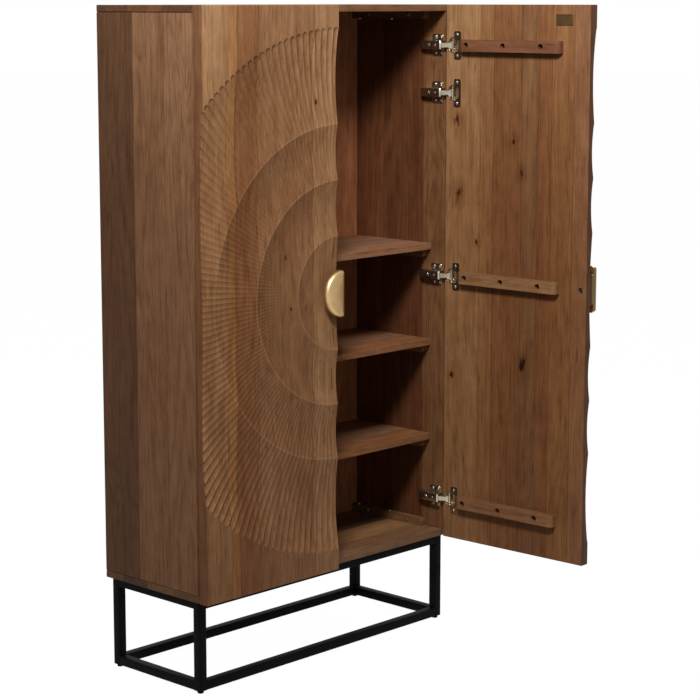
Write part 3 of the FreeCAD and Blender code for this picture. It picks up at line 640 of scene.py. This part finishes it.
def carved_leaf(side, material):
    # Built from the middle of the rings outwards on a wider board, which is then cut to the leaf's two edges
    columns = FLUTES * STEPS + 1
    angles = np.linspace(-math.pi / 2, math.pi / 2, columns)
    build = bmesh.new()
    fan = []
    for reach, depth in carved_face():
        fan.append([build.verts.new((r * math.cos(a), d, r * math.sin(a)))
                    for r, d, a in zip(reach, depth, angles)])
    for first, second in zip(fan, fan[1:]):
        for i in range(columns - 1):
            build.faces.new((first[i], first[i + 1], second[i + 1], second[i]))
    centre = build.verts.new((0, 0, 0))
    for i in range(columns - 1):
        build.faces.new((fan[0][i], fan[0][i + 1], centre))
    top = LEAF_HALF - EASE
    flat = ((0, 0, top), (FLAT_REACH, 0, top), (FLAT_REACH, 0, -top), (0, 0, -top))
    around = fan[-1] + [build.verts.new(spot) for spot in flat]
    for triangle in tessellate_polygon([[vert.co for vert in around]]):
        build.faces.new([around[index] for index in triangle])
    free = HALF_WIDTH - LEAF_WIDTH + EASE
    outer = HALF_WIDTH - EASE
    for where, way in ((free, -1), (outer, 1)):
        everything = build.verts[:] + build.edges[:] + build.faces[:]
        bmesh.ops.bisect_plane(build, geom=everything, plane_co=(where, 0, 0), plane_no=(way, 0, 0),
                               clear_outer=True, dist=1e-4)
    bmesh.ops.remove_doubles(build, verts=build.verts[:], dist=1e-3)

    # Outline of the face, walked edge by edge
    border = [edge for edge in build.edges if len(edge.link_faces) == 1]
    beside = {}
    for edge in border:
        for vert in edge.verts:
            beside.setdefault(vert, []).append(edge.other_vert(vert))
    start = border[0].verts[0]
    outline = [start]
    before = start
    now = beside[start][0]
    while now is not start:
        outline.append(now)
        ahead = [vert for vert in beside[now] if vert is not before]
        before = now
        now = ahead[0]

    def outwards(spot):
        x = spot.x
        z = spot.z
        if abs(x - free) < 0.01:
            x -= EASE
        if abs(x - outer) < 0.01:
            x += EASE
        if abs(abs(z) - top) < 0.01:
            z += math.copysign(EASE, z)
        return x, z
    places = [outwards(vert.co) for vert in outline]
    edge_front = [build.verts.new((x, vert.co.y + EASE, z)) for (x, z), vert in zip(places, outline)]
    edge_back = [build.verts.new((x, LEAF_THICK - EASE, z)) for x, z in places]
    inside = [build.verts.new((vert.co.x, LEAF_THICK, vert.co.z)) for vert in outline]

    def bridge(first, second):
        count = len(first)
        for i in range(count):
            after = (i + 1) % count
            build.faces.new((first[i], first[after], second[after], second[i]))
    bridge(outline, edge_front)
    bridge(edge_front, edge_back)
    bridge(edge_back, inside)

    # Round seats in the inside face
    seats = [(CUP_ACROSS, height, SEAT_RADIUS, SEAT_DEPTH) for height in HINGES]
    seats.append((BOLT_ACROSS, 0, BOLT_SEAT_RADIUS, BOLT_SEAT_DEPTH))
    mouths = []
    for across, height, radius, depth in seats:
        rim = circle(HALF_WIDTH - across, height, radius, 32)
        mouth = [build.verts.new((x, LEAF_THICK, z)) for x, z in rim]
        bottom = [build.verts.new((x, LEAF_THICK - depth, z)) for x, z in rim]
        bridge(mouth, bottom)
        build.faces.new(bottom)
        mouths.append(mouth)
    order = inside + [vert for mouth in mouths for vert in mouth]
    for triangle in tessellate_polygon([[vert.co for vert in loop] for loop in [inside, *mouths]]):
        build.faces.new([order[index] for index in triangle])

    place = on_door(side)
    for vert in build.verts:
        vert.co = place((HALF_WIDTH - vert.co.x, vert.co.y, vert.co.z))
    finished(build, side + "_carved_leaf", side + "_leaf", material, [side + "_door"], 12)


carved_leaf("left", door_left_wood)
carved_leaf("right", door_right_wood)


# Pillowed half-disc handles, each lifted off its leaf by a boss
HANDLE_RADIUS = 53
HANDLE_CORNER = 7
HANDLE_EDGE = 398
HANDLE_MIDDLE = 376
HANDLE_SKIRT = 7.5
HANDLE_CROWN = 18
HANDLE_ROUND = 5
HANDLE_RISE = 9.5


def handle_outline(inset):
    # The straight side draws in less than the round side
    lift = math.sqrt((HANDLE_RADIUS - HANDLE_CORNER) ** 2 - HANDLE_CORNER ** 2)
    lean = math.degrees(math.atan2(lift, -HANDLE_CORNER))
    edge = HANDLE_EDGE + 0.7 * inset
    corner_radius = HANDLE_CORNER - inset
    outline = arc(edge - HANDLE_CORNER, lift, corner_radius, 0, lean, 10)
    outline += arc(edge, 0, HANDLE_RADIUS - inset, lean, 360 - lean, 48)[1:-1]
    outline += arc(edge - HANDLE_CORNER, -lift, corner_radius, 360 - lean, 360, 10)
    return outline


for side in SIDES:
    form = Form()
    steps = [(1.1, -5), (0.3, -5.4), (0, -6.2), (0, -HANDLE_SKIRT)]
    for angle in (15, 30, 45, 60, 75, 90):
        turn = math.radians(angle)
        steps.append((HANDLE_ROUND * (1 - math.cos(turn)), -HANDLE_SKIRT - HANDLE_RISE * math.sin(turn)))
    rings = []
    for inset, deep in steps:
        rings.append(form.ring([(u, deep, z) for u, z in handle_outline(inset)]))
    flat = handle_outline(HANDLE_ROUND)
    for share in (0.8, 0.6, 0.4, 0.2):
        deep = share ** 2 - HANDLE_CROWN
        drawn_in = [(HANDLE_MIDDLE + share * (u - HANDLE_MIDDLE), share * z) for u, z in flat]
        rings.append(form.ring([(u, deep, z) for u, z in drawn_in]))
    for first, second in zip(rings, rings[1:]):
        form.bridge(first, second)
    form.cap(rings[0])
    form.fan(rings[-1], (HANDLE_MIDDLE, -HANDLE_CROWN, 0))
    boss = round_box(369, 397.6, -33.3, 33.3, 2)
    form.loft([[(u, deep, z) for u, z in boss] for deep in (0, -5.4)])
    piece(form, side + "_pillowed_handle", on_door(side), side + "_leaf", satin_brass[side],
          [side + "_handle"], 40)

    bolt = Form()
    bolt.screw(lambda a, b, h: (BOLT_ACROSS + a, 19.2 + h, b), 5.8, 3.6)
    piece(bolt, side + "_handle_bolt", on_door(side), side + "_leaf", dark_steel,
          [side + "_handle_screw"])

# Battens with sunk screws
BATTENS = {"top": HINGES[0], "middle": HINGES[2], "bottom": HINGES[3]}
BATTEN_ENDS = (48, 327)
BATTEN_FACE = 43
BATTEN_ROUND = 12
BATTEN_HALF = 13.5
BORES = (70, 174, 278)
BORE_RADIUS = 6.8
BORE_FLOOR = 29


def batten_plan():
    near, far = BATTEN_ENDS
    bend = BATTEN_FACE - BATTEN_ROUND
    plan = [(near, LEAF_THICK), (far, LEAF_THICK)]
    plan += arc(far - BATTEN_ROUND, bend, BATTEN_ROUND, 0, 90, 8)
    plan += arc(near + BATTEN_ROUND, bend, BATTEN_ROUND, 90, 180, 8)
    return plan


for side in SIDES:
    screws = Form()
    for where, height in BATTENS.items():
        form = Form()
        plan = batten_plan()
        low = form.ring([(u, w, height - BATTEN_HALF) for u, w in plan])
        high = form.ring([(u, w, height + BATTEN_HALF) for u, w in plan])
        count = len(plan)
        # The bored face lies between the two rounded ends
        front = count // 2
        for i in range(count):
            if i != front:
                after = (i + 1) % count
                form.faces.append((low[i], low[after], high[after], high[i]))
        form.cap(low)
        form.cap(high)
        mouths = []
        for bore in BORES:
            rim = circle(bore, height, BORE_RADIUS, 28)
            mouth = form.ring([(u, BATTEN_FACE, z) for u, z in rim])
            bottom = form.ring([(u, BORE_FLOOR, z) for u, z in rim])
            form.bridge(mouth, bottom)
            form.cap(bottom)
            mouths.append(mouth)
            screws.screw(lambda a, b, h, u=bore, z=height: (u + a, BORE_FLOOR + h, z + b), 4.4, 2.6)
        form.cap([low[front], low[front + 1], high[front + 1], high[front]], mouths)
        label = "%s_%s_batten" % (side, where)
        bar = piece(form, label + "_bored", on_door(side), side + "_leaf", batten_woods[side],
                    [label], 30)
        edge = bar.modifiers.new("eased", "BEVEL")
        edge.width = 0.0012
        edge.segments = 2
        edge.limit_method = "ANGLE"
        edge.angle_limit = math.radians(50)
    piece(screws, side + "_batten_screws", on_door(side), side + "_leaf", dark_steel)

# Concealed hinges: cups with screwed flanges, plates, channel arms and the links between them
CUP_PROFILE = [(0, 14.2), (17.3, 14.2), (17.3, 25.1), (18.4, 25.1), (18.4, 25.4), (17.8, 25.7), (16.9, 25.6),
               (16.5, 25.3), (16.5, 16.4), (15.4, 15.3), (0, 15.2)]
FLANGE_TOP = 26.5
FLANGE_CORNER = 4
FLANGE_ACROSS = (28, 40)
FLANGE_UP = 28
FLANGE_BAY = 17.9
PIN_RADIUS = 1.5
PIN_HALF = 16
PLATE_THICK = 2
ARM_CROWN = 19.5
ARM_STATIONS = ((0, 17.2), (2.5, ARM_CROWN), (44, ARM_CROWN), (54, 18.2), (62, 15.2), (67.5, 11), (70, 7))
LINK_STATIONS = ((2.2, 8.4, 1), (4.7, 8.3, 4), (9, 6.6, 2), (13, 5.7, 1), (29, 5.7, 1))
LINK_WALL = 1.2
EYE_RINGS = ((2.5, -8.4), (2.5, 8.4), (1.6, 8.4), (1.6, -8.4))


def flange_outline():
    # Two wings above and below the cup, with a bay around it
    near, far = FLANGE_ACROSS
    outline = [(far + FLANGE_CORNER, -FLANGE_UP), (far + FLANGE_CORNER, FLANGE_UP)]
    outline += arc(far, FLANGE_UP, FLANGE_CORNER, 0, 90, 6)[1:]
    outline += arc(near, FLANGE_UP, FLANGE_CORNER, 90, 180, 6)
    outline += arc(CUP_ACROSS, 0, FLANGE_BAY, 85, -85, 24)
    outline += arc(near, -FLANGE_UP, FLANGE_CORNER, 180, 270, 6)
    outline += arc(far, -FLANGE_UP, FLANGE_CORNER, 270, 360, 6)[:-1]
    return outline


def arm_section(crown):
    # Open channel, as (out from the panel, up)
    outer = [(2, -10), (crown - 3, -10), (crown - 0.9, -9.1), (crown, -7), (crown, 7), (crown - 0.9, 9.1),
             (crown - 3, 10), (2, 10)]
    inner = [(2, 8.5), (crown - 3.4, 8.5), (crown - 1.9, 7.9), (crown - 1.5, 6.6), (crown - 1.5, -6.6),
             (crown - 1.9, -7.9), (crown - 3.4, -8.5), (2, -8.5)]
    return outer + inner


def link_section(half, ear):
    # Web with two folded ears, as (aside, up)
    outer = [(ear, -half), (-0.2, -half), (-0.8, 0.6 - half), (-0.8, half - 0.6), (-0.2, half), (ear, half)]
    hollow = half - LINK_WALL
    inner = [(ear, hollow), (0.8, hollow), (0.8, -hollow), (ear, -hollow)]
    return outer + inner


for side in SIDES:
    cups = Form()
    cup_screws = Form()
    plates = Form()
    plate_screws = Form()
    arms = Form()
    arm_screws = Form()
    links = Form()
    for height in HINGES:
        cups.lathe(CUP_PROFILE, lambda a, b, h, z=height: (CUP_ACROSS + a, h, z + b), 40)
        cups.loft([[(u, deep, height + z) for u, z in flange_outline()] for deep in (LEAF_THICK, FLANGE_TOP)])
        pin = circle(PIN_ACROSS, PIN_DEEP, PIN_RADIUS, 16)
        cups.loft([[(u, deep, height + z) for u, deep in pin] for z in (-PIN_HALF, PIN_HALF)])
        for up in (-24, 24):
            cup_screws.screw(lambda a, b, h, z=height + up: (31.5 + a, FLANGE_TOP + h, z + b), 3.9, 2)

        plates.slab(round_box(6, 39, -25, 25, 5), 0, PLATE_THICK, lambda a, b, h, z=height: (h, a, z + b))
        for along in (13, 29):
            for up in (-18.5, 18.5):
                plate_screws.screw(lambda a, b, h, y=along, z=height + up: (PLATE_THICK + h, y + a, z + b),
                                   4.1, 2.4)

        arms.loft([[(out, along, height + up) for out, up in arm_section(crown)]
                   for along, crown in ARM_STATIONS])
        for along, radius in ((17, 3.4), (36, 4.2)):
            arm_screws.screw(lambda a, b, h, y=along, z=height: (ARM_CROWN + h, y + a, z + b), radius, 1.2)

        links.loft([[(ahead, aside, height + up) for aside, up in link_section(half, ear)]
                    for ahead, half, ear in LINK_STATIONS])
        eye = []
        for radius, up in EYE_RINGS:
            eye.append(links.ring([(a, b, height + up) for a, b in circle(0, 0, radius, 20)]))
        for first, second in zip(eye, eye[1:] + eye[:1]):
            links.bridge(first, second)
    leaf = side + "_leaf"
    piece(cups, side + "_round_cups", on_door(side), leaf, nickel, [side + "_hinge_cups"])
    piece(cup_screws, side + "_cup_screws", on_door(side), leaf, screw_steel)
    wall = on_side_panel(side)
    piece(plates, side + "_shaped_plates", wall, "cabinet", nickel, [side + "_hinge_plates"])
    piece(plate_screws, side + "_plate_screws", wall, "cabinet", screw_steel)
    piece(arms, side + "_shaped_arms", wall, "cabinet", nickel, [side + "_hinge_arms"])
    piece(arm_screws, side + "_arm_screws", wall, "cabinet", screw_steel)
    piece(links, side + "_shaped_links", on_link(side), side + "_links", nickel,
          [side + "_hinge_links"])

# Bare plate on the inside of the right leaf
PLATE_ACROSS = (307, 353)
PLATE_UP = (577, 602)
PLATE_FACE = 25.8
PLATE_RIM = 26.3


def plate_outline(inset, radius):
    left, right = PLATE_ACROSS
    low, high = PLATE_UP
    return round_box(left + inset, right - inset, low + inset, high - inset, radius)


form = Form()
form.slab(plate_outline(0, 1.5), LEAF_THICK, PLATE_FACE, lambda a, b, h: (a, h, b), 0.3)
rims = []
for inset, deep, radius in ((1, PLATE_FACE, 1.2), (1.4, PLATE_RIM, 1.1), (2.2, PLATE_RIM, 0.9),
                            (2.6, PLATE_FACE, 0.8)):
    rims.append(form.ring([(u, deep, z) for u, z in plate_outline(inset, radius)]))
for first, second in zip(rims, rims[1:] + rims[:1]):
    form.bridge(first, second)
piece(form, "bare_plate", on_door("right"), "right_leaf", bronze)


# Square tubes with rounded corners
def tube(node):
    low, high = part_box(node)
    size = [1000 * (b - a) for a, b in zip(low, high)]
    way = size.index(max(size))
    middle = [500 * (a + b) for a, b in zip(low, high)]
    others = [i for i in range(3) if i != way]
    rings = []
    half = size[way] / 2
    wide = min(size) / 2
    for along in (-half, half):
        ring = []
        for a, b in round_box(-wide, wide, -wide, wide, 1.8, 4):
            spot = list(middle)
            spot[way] += along
            spot[others[0]] += a
            spot[others[1]] += b
            ring.append(spot)
        rings.append(ring)
    form = Form()
    form.loft(rings)
    piece(form, node + "_tube", lambda spot: Vector(spot) / 1000, "cabinet", black_coat,
          [node], 40)


for name in sorted(nodes):
    if name.endswith("_leg") or name.endswith("_rail"):
        tube(name)

feet = Form()
for name in sorted(nodes):
    if name.endswith("_leg"):
        low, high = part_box(name)
        foot_x = 500 * (low.x + high.x)
        foot_y = 500 * (low.y + high.y)
        feet.lathe([(0, 0), (6, 0), (6.8, 0.8), (6.8, 3.4), (6.1, 4.4), (4, 4.7), (4, 6), (0, 6)],
                   lambda a, b, h, x=foot_x, y=foot_y: (x + a, y + b, h), 28)
piece(feet, "turned_feet", lambda spot: Vector(spot) / 1000, "cabinet", black_plastic,
      ["levelling_feet"])

# Screws of the cleats: into the side panel and into what the cleat carries
CLEAT_FACE = 364
CLEAT_MIDDLE = 373
CLEAT_SCREW = (4.2, 2.2)
for side in SIDES:
    sign = SIGN[side]
    form = Form()
    for where in ("lid", "upper_shelf", "middle_shelf", "lower_shelf", "floor"):
        low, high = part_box("%s_%s_cleat" % (side, where))
        centre_z = 500 * (low.z + high.z)
        for along in (99, 224):
            form.screw(lambda a, b, h, y=along, z=centre_z: (sign * (CLEAT_FACE - h), y + a, z + b),
                       *CLEAT_SCREW)
        way = 1 if where == "floor" else -1
        face_z = 1000 * (high.z if where == "floor" else low.z)
        for along in (160, 262):
            form.screw(lambda a, b, h, y=along, z=face_z: (sign * CLEAT_MIDDLE + a, y + b, z + way * h),
                       *CLEAT_SCREW)
    piece(form, side + "_cleat_screws", in_cabinet, "cabinet", screw_steel)

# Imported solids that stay, with eased edges and their finishes
FINISH = {
    "lid_panel": lid_wood,
    "floor_panel": floor_wood,
    "left_side_panel": left_side_wood,
    "right_side_panel": right_side_wood,
    "back_panel": back_wood,
    "lower_shelf": shelf_wood,
    "middle_shelf": shelf_wood,
    "upper_shelf": upper_shelf_wood,
}
for name, thing in nodes.items():
    if thing.hide_render:
        continue
    thing.data.materials.clear()
    thing.data.materials.append(FINISH.get(name, cleat_wood))
    weld = thing.modifiers.new("joined", "WELD")
    weld.merge_threshold = 0.00001
    eased = thing.modifiers.new("eased", "BEVEL")
    eased.width = 0.0007
    eased.segments = 2
    eased.limit_method = "ANGLE"
    eased.angle_limit = math.radians(40)

# Stage: pale floor, white surroundings, soft lamps
stage_mesh = bpy.data.meshes.new("studio_floor")
stage_mesh.from_pydata([(-30, -30, 0), (30, -30, 0), (30, 30, 0), (-30, 30, 0)], [], [(0, 1, 2, 3)])
stage_floor = bpy.data.objects.new("studio_floor", stage_mesh)
scene.collection.objects.link(stage_floor)


WHITE = (1, 1, 1, 1)
FLOOR_GREY = (0.5, 0.5, 0.5, 1)
FLOOR_GLOW = 1.04
FLOOR_GLOW_SHARE = 0.95
SOFT_LIGHT = 0.23
MIRRORED_SHARE = 0.6


def calculated(tree, operation, first, second):
    node = tree.nodes.new("ShaderNodeMath")
    node.operation = operation
    for socket, value in zip(node.inputs, (first, second)):
        if isinstance(value, bpy.types.NodeSocket):
            tree.links.new(value, socket)
        else:
            socket.default_value = value
    return node.outputs[0]


def background_rays(tree):
    # Rays that show the surroundings as a white backdrop; metals mirror only a share of it
    path = tree.nodes.new("ShaderNodeLightPath")
    mirrored = calculated(tree, "MULTIPLY", path.outputs["Is Glossy Ray"], MIRRORED_SHARE)
    seen = calculated(tree, "MAXIMUM", path.outputs["Is Camera Ray"], mirrored)
    return calculated(tree, "MAXIMUM", seen, path.outputs["Is Transmission Ray"])


def source(tree, kind, colour, strength=None):
    node = tree.nodes.new("ShaderNode" + kind)
    node.inputs["Color"].default_value = colour
    if strength is not None:
        node.inputs["Strength"].default_value = strength
    return node.outputs[0]


def blended(tree, share, first, second, out):
    blend = tree.nodes.new("ShaderNodeMixShader")
    tree.links.new(share, blend.inputs["Fac"])
    tree.links.new(first, blend.inputs[1])
    tree.links.new(second, blend.inputs[2])
    tree.links.new(blend.outputs[0], tree.nodes.new(out).inputs["Surface"])


pale = bpy.data.materials.new("pale_floor")
pale.use_nodes = True
tree = pale.node_tree
tree.nodes.clear()
glow_share = calculated(tree, "MULTIPLY", background_rays(tree), FLOOR_GLOW_SHARE)
blended(tree, glow_share, source(tree, "BsdfDiffuse", FLOOR_GREY),
        source(tree, "Emission", WHITE, FLOOR_GLOW), "ShaderNodeOutputMaterial")
stage_mesh.materials.append(pale)

world = bpy.data.worlds.new("studio")
scene.world = world
world.use_nodes = True
tree = world.node_tree
tree.nodes.clear()
blended(tree, background_rays(tree), source(tree, "Background", WHITE, SOFT_LIGHT),
        source(tree, "Background", WHITE, 1), "ShaderNodeOutputWorld")


def lamp(name, place, target, size, power):
    light = bpy.data.lights.new(name, "AREA")
    light.shape = "SQUARE"
    light.size = size
    light.energy = power
    thing = bpy.data.objects.new(name, light)
    scene.collection.objects.link(thing)
    thing.location = place
    thing.rotation_mode = "QUATERNION"
    thing.rotation_quaternion = (Vector(target) - Vector(place)).to_track_quat("-Z", "Y")


lamp("key", (-1.6, -1.2, 2.9), (-0.2, 0, 3), 0.7, 150)
lamp("right_fill", (2.3, 0.4, 2.2), (0.4, 0, 1), 0.9, 32)
lamp("back_fill", (0.6, 2.4, 2.2), (0, 0.35, 1), 0.9, 18)

# Camera at the photograph's viewing angle
view_camera = bpy.data.cameras.new("view")
view_camera.sensor_width = 36
view_camera.lens = 106.286
view_camera.shift_x = 0.0083
view_camera.shift_y = -0.05
viewer = bpy.data.objects.new("view", view_camera)
scene.collection.objects.link(viewer)
viewer.location = in_cabinet((-3226.6, -3127.9, 1462))
yaw = math.radians(46.291)
pitch = math.radians(8.692)
ahead = Vector((math.sin(yaw) * math.cos(pitch), math.cos(yaw) * math.cos(pitch), -math.sin(pitch)))
viewer.rotation_mode = "QUATERNION"
viewer.rotation_quaternion = ahead.to_track_quat("-Z", "Y")
scene.camera = viewer

bpy.context.view_layer.update()
